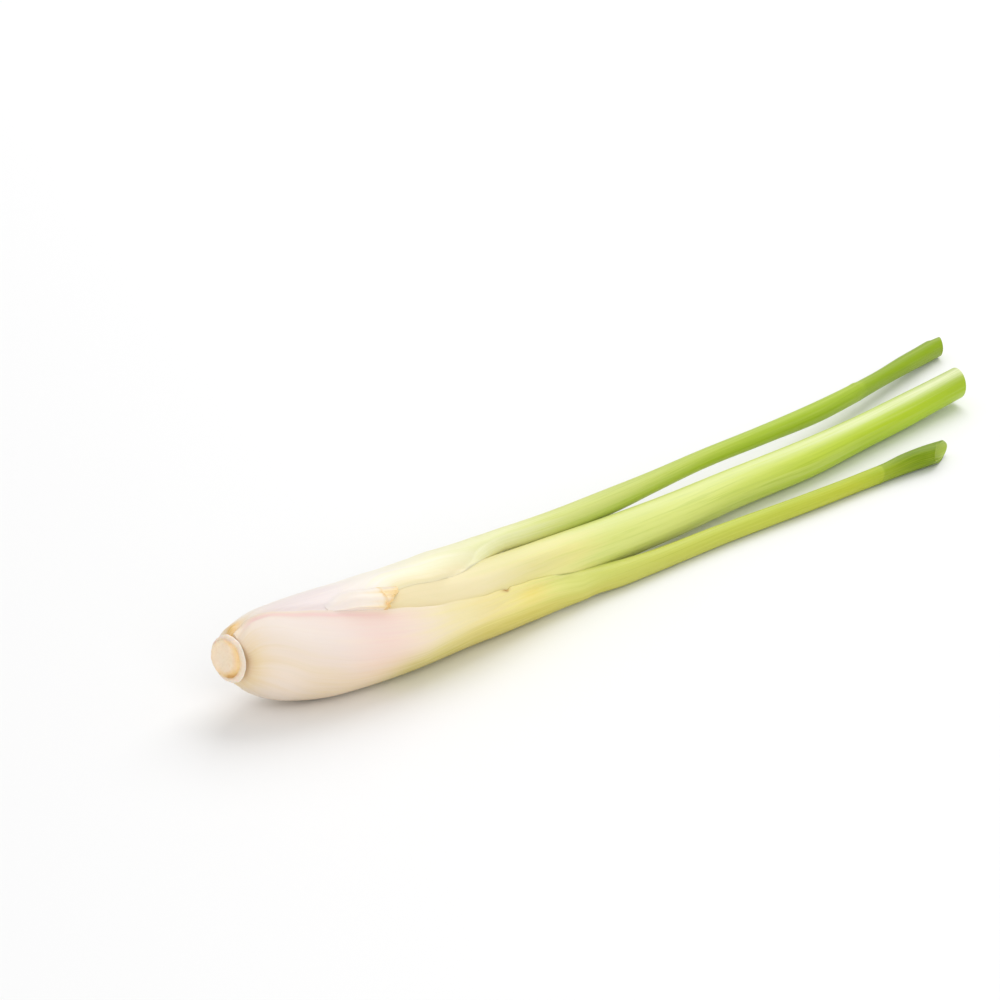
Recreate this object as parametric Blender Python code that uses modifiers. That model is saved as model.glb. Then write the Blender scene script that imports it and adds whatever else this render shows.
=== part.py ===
"""Lemongrass stalk, trimmed at both ends and lying on its side.

The root end points to -X, the leaf ends to +X, and +Z is up. The origin is on the table, under the
middle of the bulb. Lengths are in millimetres, measured from the cut root face, until the meshes are
made in metres. Angles round the stalk run from +Y (0) over the top (90) to the front, -Y (180).
"""
import math

import bpy
import numpy as np
from mathutils import Matrix

MM = 0.001
GAP = 0.3  # clearance between neighbouring pieces
SLIP = 0.45  # clearance where the front sheath lies over the back one
ROOT = (-28.0, 5.0)  # x, y of the cut root face when the origin is under the bulb

# Stations along the stalk: x, then y, z and radius of the round section there.
BULB = [
    (0.0, 0.0, 14.3, 5.6),
    (3.0, -0.1, 14.0, 6.4),
    (6.5, -0.5, 13.0, 8.3),
    (10.0, -1.2, 12.5, 9.85),
    (15.0, -2.5, 12.1, 11.0),
    (21.0, -3.9, 11.85, 11.75),
    (29.0, -5.2, 11.75, 12.0),
    (42.0, -6.9, 11.5, 11.7),
    (56.0, -7.5, 11.4, 11.5),
]
MAIN = [
    (0.0, 0.0, 14.3, 3.4),
    (4.0, -0.2, 13.9, 3.6),
    (7.0, -0.6, 13.1, 5.2),
    (11.0, -1.4, 12.6, 6.9),
    (18.0, -3.2, 12.1, 8.3),
    (28.0, -5.1, 12.0, 8.9),
    (40.0, -7.4, 12.4, 8.4),
    (50.0, -9.2, 12.7, 7.6),
    (60.0, -9.9, 12.3, 6.9),
    (80.0, -8.0, 11.1, 6.05),
    (100.0, -5.9, 9.4, 5.75),
    (116.0, -4.1, 7.9, 5.6),
    (140.0, -2.6, 6.7, 5.3),
    (165.0, -0.2, 5.6, 4.95),
    (200.0, 1.1, 4.8, 4.85),
    (235.0, 3.9, 4.65, 4.7),
    (268.0, 6.2, 5.4, 4.2),
]
FRONT_LOBE = [
    (44.0, -7.1, 11.4, 11.6),
    (53.0, -7.6, 10.4, 10.5),
    (62.0, -7.9, 9.2, 9.3),
    (72.0, -8.8, 7.5, 7.6),
    (81.0, -9.3, 6.1, 6.2),
    (91.0, -10.1, 4.6, 4.7),
    (100.0, -10.8, 3.6, 3.7),
    (110.0, -11.5, 2.8, 2.9),
    (120.0, -11.9, 2.6, 2.7),
    (150.0, -12.4, 2.35, 2.45),
    (180.0, -14.3, 2.45, 2.55),
    (205.0, -15.0, 2.2, 2.3),
    (211.0, -15.3, 2.0, 2.05),
    (231.0, -17.0, 2.2, 2.3),
]
BACK_LOBE = [
    (44.0, -7.1, 11.6, 11.6),
    (53.0, -6.2, 14.2, 9.0),
    (62.0, -4.8, 16.6, 6.0),
    (70.0, -2.7, 17.3, 4.0),
    (80.0, -1.2, 17.3, 2.95),
    (91.0, -0.2, 16.3, 2.85),
    (102.0, 0.9, 15.3, 2.85),
    (126.0, 3.2, 13.8, 2.85),
    (142.0, 5.2, 12.9, 2.5),
    (165.0, 9.0, 11.2, 2.35),
    (194.0, 12.8, 9.0, 2.4),
    (223.0, 17.3, 6.7, 2.65),
    (241.0, 21.1, 5.4, 2.5),
    (262.0, 26.0, 3.9, 2.25),
    (294.0, 32.5, 2.2, 2.3),
]
# Where the free edges of the two sheaths run: x, then the two edges' angles round the main stalk.
FRONT_EDGES = [
    (3.0, 82.0, 338.0),
    (7.0, 88.0, 338.0),
    (13.0, 101.0, 338.0),
    (28.0, 122.0, 336.0),
    (44.0, 136.0, 332.0),
    (53.0, 143.0, 326.0),
    (62.0, 150.0, 318.0),
    (72.0, 159.0, 304.0),
    (81.0, 165.0, 291.0),
    (91.0, 178.0, 271.0),
    (100.0, 193.0, 251.0),
    (112.0, 205.0, 232.0),
]
BACK_EDGES = [
    (3.0, -70.0, 140.0),
    (36.0, -66.0, 140.0),
    (41.0, -62.0, 131.0),
    (45.0, -57.0, 117.0),
    (50.0, -49.0, 104.0),
    (56.0, -37.0, 95.0),
    (62.0, -22.0, 89.0),
    (70.0, -3.0, 81.0),
    (86.0, 16.0, 70.0),
]
SHEATH_START = 3.1  # both sheaths start just behind the collar
MAIN_START = 5.3
WRAP_STEPS = [(SHEATH_START, 12.0, 1.8), (12.0, 36.0, 4.0), (36.0, 60.0, 3.0)]
FRONT_TIP = 231.0
BACK_TIP = 294.0
MAIN_TIP = 268.0
FRONT_ROLL = (84.0, 114.0)  # the sheath narrows and rolls up between these
BACK_ROLL = (58.0, 86.0)
EDGE_THICKNESS = 0.8
EDGE_SLOPES = (0.6, 1.5)  # how fast a sheath thickens in from its edge: on the bulb, where it rolls
TUCK_FADE = 26.0  # degrees over which the back sheath rises from under the front one
COVER_FADE = 6.0
BASE_LEAN = 0.071  # the root face leans back by this slope
BRACT = (22.5, 39.5)
BRACT_WIDTH = 17.0  # degrees round the bulb at its wide end


def along(stations, x):
    """The values at x on a smooth curve through the stations."""
    table = np.array(stations)
    xs, values = table[:, 0], table[:, 1:]
    x = min(max(x, xs[0]), xs[-1])
    slopes = np.gradient(values, xs, axis=0)
    i = min(max(int(np.searchsorted(xs, x)) - 1, 0), len(xs) - 2)
    span = xs[i + 1] - xs[i]
    t = (x - xs[i]) / span
    start = (2 * t**3 - 3 * t**2 + 1) * values[i] + (t**3 - 2 * t**2 + t) * span * slopes[i]
    end = (3 * t**2 - 2 * t**3) * values[i + 1] + (t**3 - t**2) * span * slopes[i + 1]
    return start + end


def ease(low, high, x):
    """A smooth step from 0 at low to 1 at high."""
    t = min(max((x - low) / (high - low), 0.0), 1.0)
    return t * t * (3 - 2 * t)


def direction(angle):
    return np.array([math.cos(math.radians(angle)), math.sin(math.radians(angle))])


def reach(origin, angle, centre, radius):
    """How far a ray from origin goes before it leaves a circle."""
    across = np.array(centre) - np.array(origin)
    forward = across @ direction(angle)
    inside = max(radius**2 - across @ across + forward**2, 0.0)
    return forward + math.sqrt(inside)


def front_lobe(x):
    return along(BULB, x) if x < 44.0 else along(FRONT_LOBE, x)


def back_lobe(x):
    return along(BULB, x) if x < 44.0 else along(BACK_LOBE, x)


def front_edges(x):
    """The front sheath's edges, with the small bump in the upper one."""
    upper, lower = along(FRONT_EDGES, x)
    return upper - 4.0 * math.exp(-(((x - 82.0) / 5.0) ** 2)), lower


def tuck(x):
    """Thickness of the back sheath where the front one covers it."""
    wall = along(BULB, x)[2] - along(MAIN, x)[2]
    return max((wall - GAP - SLIP) / 2, EDGE_THICKNESS)


def under_front(x, angle):
    """1 where the front sheath covers this angle, fading to 0 beside it."""
    upper, lower = front_edges(x)
    front = ease(upper - TUCK_FADE, upper - 6.0, angle)
    back = 1.0 - ease(lower - 354.0, lower - 360.0 + TUCK_FADE, angle)
    return max(front, back) * (1.0 - ease(46.0, 60.0, x))


def over_back(x, angle):
    """1 where the back sheath lies under the front one."""
    lower, upper = along(BACK_EDGES, x)
    front = 1.0 - ease(upper + 1.5, upper + COVER_FADE, angle)
    back = ease(lower + 360.0 - COVER_FADE, lower + 358.5, angle)
    return max(front, back)


def front_wall(x, angle):
    """Inner and outer radius of the front sheath at this angle, before its edges thin out."""
    core = along(MAIN, x)
    inner = core[2] + GAP + over_back(x, angle) * (tuck(x) + SLIP)
    lobe = front_lobe(x)
    return inner, max(reach(core[:2], angle, lobe[:2], lobe[2]), inner + EDGE_THICKNESS)


def back_wall(x, angle):
    core = along(MAIN, x)
    inner = core[2] + GAP
    lobe = back_lobe(x)
    free = max(reach(core[:2], angle, lobe[:2], lobe[2]), inner + EDGE_THICKNESS)
    hidden = inner + tuck(x)
    return inner, free + (min(hidden, free) - free) * under_front(x, angle)


def clear_of_main(x, ring):
    """Push a section's points out to the gap round the main stalk."""
    y, z, radius = along(MAIN, x)
    away = ring - (y, z)
    distance = np.linalg.norm(away, axis=1, keepdims=True)
    return ring + away / distance * np.maximum(radius + GAP + 0.02 - distance, 0.0)


def sheath_ring(x, edges, wall, lobe, roll, columns):
    """A sheath's section at x: wrapped round the main stalk, then rolled up into a round rod."""
    core = along(MAIN, x)[:2]
    first, last = edges(x)
    outside, inside = [], []
    rolled = ease(*roll, x)
    slope = EDGE_SLOPES[0] + (EDGE_SLOPES[1] - EDGE_SLOPES[0]) * ease(48.0, 70.0, x)
    middle = lobe(x)
    lean = middle[:2] - core
    heading = math.degrees(math.atan2(lean[1], lean[0]))
    for i in range(columns):
        s = i / (columns - 1)
        angle = first + (last - first) * s
        inner, outer = wall(x, angle)
        margin = min(s, 1 - s) * math.radians(last - first) * inner
        outer = min(outer, inner + EDGE_THICKNESS + slope * margin)
        turn = (s - 0.5) * 168.0
        rod_out = middle[:2] + middle[2] * direction(heading + turn)
        rod_in = middle[:2] + middle[2] * direction(heading + 180.0 - turn)
        outside.append((1 - rolled) * (core + outer * direction(angle)) + rolled * rod_out)
        inside.append((1 - rolled) * (core + inner * direction(angle)) + rolled * rod_in)
    return clear_of_main(x, np.array(outside + inside[::-1]))


def front_ring(x, columns=27):
    return sheath_ring(x, front_edges, front_wall, front_lobe, FRONT_ROLL, columns)


def back_ring(x, columns=25):
    def edges(at):
        return along(BACK_EDGES, at)

    return sheath_ring(x, edges, back_wall, back_lobe, BACK_ROLL, columns)


def main_ring(x, sides=24):
    y, z, radius = along(MAIN, x)
    angles = [360.0 * (i + 0.5) / sides for i in range(sides)]
    return np.array([np.array([y, z]) + radius * direction(a) for a in angles])


def bract_ring(x, columns=7):
    """The bract's section: a small dome on the back sheath, against the front sheath's edge."""
    core = along(MAIN, x)
    low = front_edges(x)[0] - 1.8
    grown = ease(BRACT[0] - 2.0, BRACT[0] + 13.0, x)
    span = 4.0 + (BRACT_WIDTH - 4.0) * grown
    outside, inside = [], []
    for i in range(columns):
        s = i / (columns - 1)
        angle = low - span + span * s
        seat = back_wall(x, angle)[1] + GAP
        dome = EDGE_THICKNESS + (0.3 + 1.3 * grown) * math.sin(math.pi * s)
        outside.append(core[:2] + (seat + dome) * direction(angle))
        inside.append(core[:2] + seat * direction(angle))
    return np.array(outside + inside[::-1])


def spread(stops):
    """Ring places from (start, end, step) runs, without doubles."""
    places = []
    for start, end, step in stops:
        count = max(int(round((end - start) / step)), 1)
        places += [start + (end - start) * i / count for i in range(count)]
    return places + [stops[-1][1]]


def lean_back(x, ring):
    """Ring points in space, leaning with the root face near the root and never under the table."""
    height = ring[:, 1] - along(BULB, x)[1]
    lean = BASE_LEAN * (1.0 - ease(0.0, 26.0, x))
    return np.column_stack([x + lean * height, ring[:, 0], np.maximum(ring[:, 1], 0.0)])


def add_material(name, colour, roughness):
    material = bpy.data.materials.new(name)
    material.use_nodes = True
    shader = material.node_tree.nodes["Principled BSDF"]
    shader.inputs["Base Color"].default_value = (*colour, 1.0)
    shader.inputs["Roughness"].default_value = roughness
    shader.inputs["Metallic"].default_value = 0.0
    return material


def add_loft(name, rings, material):
    """A closed solid through rings of equal count, capped with strips from side to side."""
    count = len(rings[0])
    points = np.concatenate(rings) * MM
    faces = []
    for r in range(len(rings) - 1):
        for j in range(count):
            k = (j + 1) % count
            faces.append((r * count + j, r * count + k, (r + 1) * count + k, (r + 1) * count + j))
    last = (len(rings) - 1) * count
    for j in range(count // 2 - 1):
        cap = (j, j + 1, count - 2 - j, count - 1 - j)
        faces.append(cap[::-1])
        faces.append(tuple(last + c for c in cap))
    mesh = bpy.data.meshes.new(name)
    mesh.from_pydata(points.tolist(), [], faces)
    mesh.materials.append(material)
    mesh.shade_smooth()
    mesh.set_sharp_from_angle(angle=math.radians(50))
    return bpy.data.objects.new(name, mesh)


def add_root_crown():
    """The cut stub: a turned disc with a dished face, a collar ring and a neck into the bulb."""
    profile = [
        (0.55, 0.0),
        (0.45, 2.2),
        (0.05, 4.1),
        (0.0, 4.6),
        (0.4, 4.95),
        (1.1, 4.9),
        (1.4, 5.2),
        (1.8, 5.6),
        (2.4, 5.6),
        (2.75, 5.1),
        (2.8, 3.3),
        (4.9, 3.1),
        (4.9, 0.0),
    ]
    mesh = bpy.data.meshes.new("root_crown")
    points = [(a * MM, 0.0, r * MM) for a, r in profile]
    mesh.from_pydata(points, [(i, i + 1) for i in range(len(points) - 1)], [])
    mesh.materials.append(add_material("cut_crown", (0.82, 0.66, 0.44), 0.6))
    crown = bpy.data.objects.new("root_crown", mesh)
    screw = crown.modifiers.new("turn", "SCREW")
    screw.axis = "X"
    screw.steps = screw.render_steps = 28
    screw.use_merge_vertices = True
    screw.merge_threshold = 0.00005
    screw.use_smooth_shade = True
    screw.use_normal_flip = True
    crown.location = (0.0, 0.0, BULB[0][2] * MM)
    crown.rotation_euler = (0.0, math.atan(BASE_LEAN), 0.0)
    return crown


def add_outer_sheath():
    """The outermost leaf: round the bulb's front and underside, then a thin rolled stem."""
    places = spread(WRAP_STEPS + [(60.0, 112.0, 4.0), (112.0, FRONT_TIP, 12.0)])
    rings = [lean_back(x, front_ring(x)) for x in places]
    rings[-1][:, 0] += 0.6 * (rings[-1][:, 1] - along(FRONT_LOBE, FRONT_TIP)[0])
    return add_loft("outer_sheath", rings, add_material("front_leaf", (0.78, 0.76, 0.45), 0.45))


def add_back_sheath():
    """The opposite leaf: over the bulb's top and back, then the slim upper stem with a nick."""
    places = spread(WRAP_STEPS + [(60.0, 80.0, 3.0), (80.0, BACK_TIP, 11.0)])
    rings = [lean_back(x, back_ring(x)) for x in places]
    rings[-1][:, 0] += 0.7 * (rings[-1][:, 1] - along(BACK_LOBE, BACK_TIP)[0])
    return add_loft("back_sheath", rings, add_material("back_leaf", (0.66, 0.74, 0.33), 0.45))


def add_main_stalk():
    """The inner leaves, rolled tightly into one stem that runs out between the two sheaths."""
    places = spread([(MAIN_START, 20.0, 3.0), (20.0, 120.0, 6.0), (120.0, MAIN_TIP, 12.0)])
    rings = [lean_back(x, main_ring(x)) for x in places]
    rings[-1][:, 0] += 0.35 * (rings[-1][:, 1] - along(MAIN, MAIN_TIP)[0])
    return add_loft("main_stalk", rings, add_material("inner_leaves", (0.72, 0.77, 0.42), 0.45))


def add_side_bract():
    """The dead bract tucked against the front sheath's edge, torn across at its wide end."""
    rings = [lean_back(x, bract_ring(x)) for x in spread([(BRACT[0], BRACT[1], 2.5)])]
    return add_loft("side_bract", rings, add_material("dry_bract", (0.85, 0.76, 0.52), 0.6))


def build():
    for old in list(bpy.data.objects):
        bpy.data.objects.remove(old, do_unlink=True)
    collection = bpy.data.collections.new("lemongrass_stalk")
    bpy.context.scene.collection.children.link(collection)
    root = bpy.data.objects.new("root_end", None)
    root.matrix_world = Matrix.Translation((ROOT[0] * MM, ROOT[1] * MM, 0.0))
    collection.objects.link(root)
    pieces = [add_root_crown(), add_outer_sheath(), add_back_sheath(), add_main_stalk(),
              add_side_bract()]
    for piece in pieces:
        collection.objects.link(piece)
        piece.parent = root


build()
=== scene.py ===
import math

import bpy
import numpy as np
from mathutils import Matrix, Vector


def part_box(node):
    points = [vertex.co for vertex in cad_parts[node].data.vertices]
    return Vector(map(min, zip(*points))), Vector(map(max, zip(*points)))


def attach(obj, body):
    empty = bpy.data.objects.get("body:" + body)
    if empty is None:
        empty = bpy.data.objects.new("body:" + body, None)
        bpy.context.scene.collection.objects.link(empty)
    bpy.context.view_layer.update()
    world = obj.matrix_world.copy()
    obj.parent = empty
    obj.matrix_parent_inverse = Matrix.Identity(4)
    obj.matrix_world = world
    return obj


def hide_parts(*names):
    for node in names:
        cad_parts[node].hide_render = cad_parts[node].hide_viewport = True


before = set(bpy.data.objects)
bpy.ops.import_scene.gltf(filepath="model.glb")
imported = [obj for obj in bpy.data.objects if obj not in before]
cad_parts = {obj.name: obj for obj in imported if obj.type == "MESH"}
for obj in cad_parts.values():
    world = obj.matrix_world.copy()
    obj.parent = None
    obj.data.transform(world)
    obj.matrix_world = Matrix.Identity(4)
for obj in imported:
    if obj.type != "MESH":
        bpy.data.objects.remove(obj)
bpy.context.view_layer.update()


# ---------------------------------------------------------------------------------------------
# Root crown. The stub of rootstock left when the stalk is cut from its clump: pale, fibrous
# tissue that the knife leaves slightly dished, ringed by the scar of the first leaf, which has
# dried to a soft white collar. All the leaves grow from it.
MM = 0.001  # sizes and places below are in mm
CROWN_LEAN = math.atan(0.071)  # the cut face leans back
CROWN_HEIGHT = 14.3  # of its centre over the table
CROWN_RIM = 4.6  # radius of the rim that leans furthest out
# distance in from the face, radius: the dished face, its rim, the collar and the hidden stub
CROWN_PROFILE = [
    (0.25, 0.0),
    (0.22, 1.5),
    (0.14, 2.6),
    (0.02, 3.5),
    (0.02, 3.8),
    (0.16, 4.05),
    (0.42, 4.17),
    (0.58, 4.25),
    (0.62, 4.5),
    (0.7, 4.9),
    (0.86, 5.17),
    (1.1, 5.3),
    (1.32, 5.3),
    (1.54, 5.1),
    (1.66, 4.7),
    (1.7, 4.1),
    (1.74, 3.2),
    (4.9, 3.0),
    (4.9, 0.0),
]
FACE_ASIDE = 0.45  # how far the face sits off the collar's middle
PITH_CENTRE = (1.1, 0.4)  # y, z of the palest place on the cut face
RIM_DARKENING = 1.3  # how much further from it the rim seems where it turns amber: partly browned, partly painted shade
RIM_DARKENING_TURN = 152.0  # degrees round from the top
CROWN_SIDES = 144
CROWN_STEP = 0.12
SHARP = 50.0  # degrees; edges sharper than this stay crisp

# the middle of the root face, from which x runs along the stalk
crown_low, crown_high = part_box("root_crown")
root_x = crown_low.x / MM + CROWN_RIM * math.sin(CROWN_LEAN)
root_y = (crown_low.y + crown_high.y) / 2 / MM


def along(stations, x):
    """The values at x on a smooth curve through the stations, whose first column is x."""
    table = np.array(stations, float)
    xs, values = table[:, 0], table[:, 1:]
    x = min(max(x, xs[0]), xs[-1])
    slopes = np.gradient(values, xs, axis=0)
    i = min(max(int(np.searchsorted(xs, x)) - 1, 0), len(xs) - 2)
    span = xs[i + 1] - xs[i]
    t = (x - xs[i]) / span
    start = (2 * t**3 - 3 * t**2 + 1) * values[i] + (t**3 - 2 * t**2 + t) * span * slopes[i]
    end = (3 * t**2 - 2 * t**3) * values[i + 1] + (t**3 - t**2) * span * slopes[i + 1]
    return start + end


def ease(low, high, x):
    """A smooth step from 0 at low to 1 at high."""
    t = np.clip((np.asarray(x, float) - low) / (high - low), 0.0, 1.0)
    return t * t * (3 - 2 * t)


def peak(centre, width, x):
    """A smooth peak of height 1 at the centre."""
    return np.exp(-(((np.asarray(x, float) - centre) / width) ** 2))


def linear(colour):
    """An sRGB hex colour as linear RGBA."""
    parts = [int(colour[i : i + 2], 16) / 255 for i in (1, 3, 5)]
    return [c / 12.92 if c <= 0.04045 else ((c + 0.055) / 1.055) ** 2.4 for c in parts] + [1.0]


def add_node(tree, kind, values=None, links=None, stops=None, **settings):
    """Add a shader node with its settings, socket values, links from outputs and ramp stops."""
    node = tree.nodes.new("ShaderNode" + kind)
    for name, value in settings.items():
        setattr(node, name, value)
    for socket, value in (values or {}).items():
        node.inputs[socket].default_value = value
    for socket, source in (links or {}).items():
        tree.links.new(source, node.inputs[socket])
    if stops:
        ramp = node.color_ramp
        while len(ramp.elements) < len(stops):
            ramp.elements.new(1.0)
        for element, (place, colour) in zip(ramp.elements, stops):
            element.position = place
            element.color = linear(colour) if isinstance(colour, str) else (colour,) * 3 + (1.0,)
    return node


def add_skin(name, rings, facts, material, poles=False):
    """A closed mesh through rings of points in mm, with one attribute for each named fact.

    The rings' ends are closed by a point each if poles, and otherwise by strips from side to side."""
    rows, count = rings.shape[:2]
    points = rings.reshape(-1, 3)
    start = np.arange(rows - 1)[:, None] * count
    here = np.arange(count)[None, :]
    then = (here + 1) % count
    quads = np.stack([start + here, start + then, start + count + then, start + count + here], -1)
    faces = quads.reshape(-1, 4).tolist()
    last = (rows - 1) * count
    if poles:
        points = np.concatenate([points, [rings[0].mean(0)], [rings[-1].mean(0)]])
        for j in range(count):
            k = (j + 1) % count
            faces.append([k, j, rows * count])
            faces.append([last + j, last + k, rows * count + 1])
    else:
        for j in range(count // 2 - 1):
            strip = [j, j + 1, count - 2 - j, count - 1 - j]
            faces.append(strip[::-1])
            faces.append([last + c for c in strip])
    mesh = bpy.data.meshes.new(name)
    mesh.from_pydata(((points + (root_x, root_y, 0.0)) * MM).tolist(), [], faces)
    for fact, values in facts.items():
        values = np.asarray(values, float)
        wide = values.ndim == 3
        flat = values.reshape(-1, 3) if wide else values.reshape(-1)
        if poles:
            ends = [values[0].mean(0, keepdims=True), values[-1].mean(0, keepdims=True)]
            flat = np.concatenate([flat, *ends]) if wide else np.append(flat, [e[0] for e in ends])
        attribute = mesh.attributes.new(fact, "FLOAT_VECTOR" if wide else "FLOAT", "POINT")
        attribute.data.foreach_set("vector" if wide else "value", flat.astype(np.float32).ravel())
    mesh.materials.append(material)
    mesh.shade_smooth()
    mesh.set_sharp_from_angle(angle=math.radians(SHARP))
    piece = bpy.data.objects.new(name, mesh)
    bpy.context.scene.collection.objects.link(piece)
    return piece


def cut_rootstock():
    """Cut, air-dried rootstock: pale fibrous starch, matt, with amber bark where the rim dried.

    Its fibres' ends show as grains about 0.6 mm apart, and the amber comes in blotches of 2 mm.
    The amber is partly painted shade, deepest at the rim's low front side and on the step down
    to the collar, and so is the tan in the groove behind the collar."""
    material = bpy.data.materials.new("cut_rootstock")
    material.use_nodes = True
    tree = material.node_tree
    shader = tree.nodes["Principled BSDF"]
    pith = add_node(tree, "Attribute", attribute_name="pith").outputs["Fac"]
    radius = add_node(tree, "Attribute", attribute_name="radius").outputs["Fac"]
    depth = add_node(tree, "Attribute", attribute_name="depth").outputs["Fac"]
    place = add_node(tree, "Attribute", attribute_name="place").outputs["Vector"]
    fibre = add_node(tree, "TexNoise", {"Scale": 1.6, "Detail": 6.0, "Roughness": 0.65},
                     {"Vector": place})
    blotch = add_node(tree, "TexNoise", {"Scale": 0.45, "Detail": 3.0}, {"Vector": place})
    shift = add_node(tree, "Math", {1: 1.6, 2: -0.8}, {0: blotch.outputs["Fac"]},
                     operation="MULTIPLY_ADD").outputs[0]
    # the face's amber towards the rim, in blotches: partly browned tissue, partly painted shade
    worn = add_node(tree, "Math", {}, {0: pith, 1: shift}, operation="ADD").outputs[0]
    face = add_node(tree, "MapRange", {"From Min": 0.0, "From Max": 8.0}, {"Value": worn})
    face = add_node(tree, "ValToRGB", {}, {"Fac": face.outputs[0]}, stops=[
        (0.0, "#fae6cb"), (0.41, "#fbe4c6"), (0.48, "#f8dab2"), (0.555, "#f4d4a2"),
        (0.635, "#edc98a"), (0.73, "#cd9c58")]).outputs["Color"]
    # the collar: amber on the step from the face and tan in the groove behind, partly painted shade
    collar = add_node(tree, "MapRange", {"From Min": 0.4, "From Max": 1.8}, {"Value": depth})
    collar = add_node(tree, "ValToRGB", {}, {"Fac": collar.outputs[0]}, stops=[
        (0.0, "#efcf9e"), (0.1, "#efcf9e"), (0.18, "#f4e3cf"), (0.5, "#f8eadc"),
        (0.8, "#f4e3d2"), (0.9, "#e6cba9"), (1.0, "#d6b48c")]).outputs["Color"]
    beyond = add_node(tree, "MapRange", {"From Min": 0.5, "From Max": 0.64}, {"Value": depth})
    on_side = add_node(tree, "MapRange", {"From Min": 4.1, "From Max": 4.35}, {"Value": radius})
    beyond = add_node(tree, "Math", {}, {0: beyond.outputs[0], 1: on_side.outputs[0]},
                      operation="MULTIPLY").outputs[0]
    colour = add_node(tree, "Mix", {}, {0: beyond, 6: face, 7: collar}, data_type="RGBA").outputs[2]
    grain = add_node(tree, "MapRange", {"From Min": 0.45, "From Max": 0.75, "To Min": 0.0,
                                        "To Max": 0.22}, {"Value": fibre.outputs["Fac"]})
    colour = add_node(tree, "Mix", {7: linear("#d9b27e")}, {0: grain.outputs[0], 6: colour},
                      data_type="RGBA").outputs[2]
    bump = add_node(tree, "Bump", {"Strength": 0.6, "Distance": 0.0002},
                    {"Height": fibre.outputs["Fac"]})
    tree.links.new(colour, shader.inputs["Base Color"])
    tree.links.new(bump.outputs["Normal"], shader.inputs["Normal"])
    shader.inputs["Roughness"].default_value = 0.6
    shader.inputs["Subsurface Weight"].default_value = 0.3
    shader.inputs["Subsurface Radius"].default_value = (1.0, 0.6, 0.3)
    shader.inputs["Subsurface Scale"].default_value = 0.001
    return material


def crown_rings():
    """The turned profile at close steps, with the knife's slip and the dried rim's unevenness."""
    turns = np.radians(np.arange(CROWN_SIDES) * 360.0 / CROWN_SIDES)
    profile = np.array(CROWN_PROFILE)
    travel = np.append(0.0, np.cumsum(np.linalg.norm(np.diff(profile, axis=0), axis=1)))
    stations = np.column_stack([travel, profile])
    rings, radii, depths = [], [], []
    for at in np.linspace(0.0, travel[-1], int(travel[-1] / CROWN_STEP)):
        depth, radius = along(stations, at)
        radius = max(radius, 0.02)
        outer = float(ease(2.0, 4.6, radius) * (1 - ease(1.6, 1.74, depth)))
        uneven = 0.09 * np.sin(3 * turns + 0.6) + 0.05 * np.sin(7 * turns + 2.0 + depth)
        uneven = uneven + 0.03 * np.sin(17 * turns + 3 * depth)
        near_face = float(ease(0.5, 4.0, radius) * (1 - ease(0.2, 1.6, depth)))
        bevel = 0.24 * np.maximum(radius * np.sin(turns) - 1.6, 0.0)
        wobble = 0.07 * np.sin(2 * turns + 1.0) + 0.05 * np.sin(5 * turns + radius)
        size = radius + outer * uneven
        inward = depth + (bevel + wobble) * near_face
        aside = FACE_ASIDE * (1.0 - float(ease(4.2, 5.2, radius)))
        rings.append(np.column_stack([inward, aside - size * np.sin(turns), size * np.cos(turns)]))
        radii.append(np.full(CROWN_SIDES, radius))
        depths.append(np.full(CROWN_SIDES, depth))
    return np.array(rings), np.array(radii), np.array(depths)


rings, radii, depths = crown_rings()
pith = np.hypot(rings[..., 1] - PITH_CENTRE[0], rings[..., 2] - PITH_CENTRE[1])
turns = np.arange(CROWN_SIDES) * 360.0 / CROWN_SIDES
# partly painted shade: the amber reaches further in at the rim's low front side
pith = pith + RIM_DARKENING * peak(RIM_DARKENING_TURN, 24.0, turns) * ease(2.4, 3.7, radii)
facts = {"radius": radii, "depth": depths, "place": rings, "pith": pith}
tilt = np.array(Matrix.Rotation(CROWN_LEAN, 3, "Y"))
crown = add_skin("cut_crown", rings @ tilt.T + (0.0, 0.0, CROWN_HEIGHT), facts, cut_rootstock(),
                 poles=True)
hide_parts("root_crown")
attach(crown, "root")


# ---------------------------------------------------------------------------------------------
# Main stalk. The inner leaves, each rolled round the next younger one into one firm stem that
# runs from inside the bulb to the far end, where the knife has cut across its layers.

# Middle lines, each with x from the root face, y and z of the centre, and radius.
# the stem itself
MAIN = [
    (0.0, 0.0, 14.3, 3.4),
    (4.0, -0.2, 13.9, 3.6),
    (7.0, -0.6, 13.1, 5.2),
    (11.0, -1.4, 12.6, 6.9),
    (18.0, -3.2, 12.1, 8.3),
    (28.0, -5.1, 12.0, 8.9),
    (40.0, -7.4, 12.4, 8.7),
    (50.0, -9.2, 12.7, 8.2),
    (60.0, -9.9, 12.3, 7.15),
    (80.0, -8.0, 11.1, 6.05),
    (100.0, -5.9, 9.4, 5.75),
    (116.0, -4.1, 7.9, 5.6),
    (140.0, -2.6, 6.7, 5.3),
    (165.0, -0.2, 5.6, 4.95),
    (200.0, 1.1, 4.8, 4.8),
    (222.0, 2.8, 4.7, 4.35),
    (240.0, 4.3, 4.75, 4.3),
    (255.0, 5.4, 5.1, 4.15),
    (268.0, 6.3, 5.5, 4.1),
]
# the bulb's outside, which both sheaths follow at first
BULB = [
    (0.0, 0.0, 14.3, 5.6),
    (3.0, -0.1, 14.0, 6.4),
    (6.5, -0.5, 13.0, 8.3),
    (10.0, -1.2, 12.5, 9.85),
    (15.0, -2.5, 12.1, 11.0),
    (21.0, -3.9, 11.85, 11.75),
    (29.0, -5.2, 11.75, 12.0),
    (42.0, -6.9, 11.5, 11.7),
    (56.0, -7.5, 11.4, 11.5),
]
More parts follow.
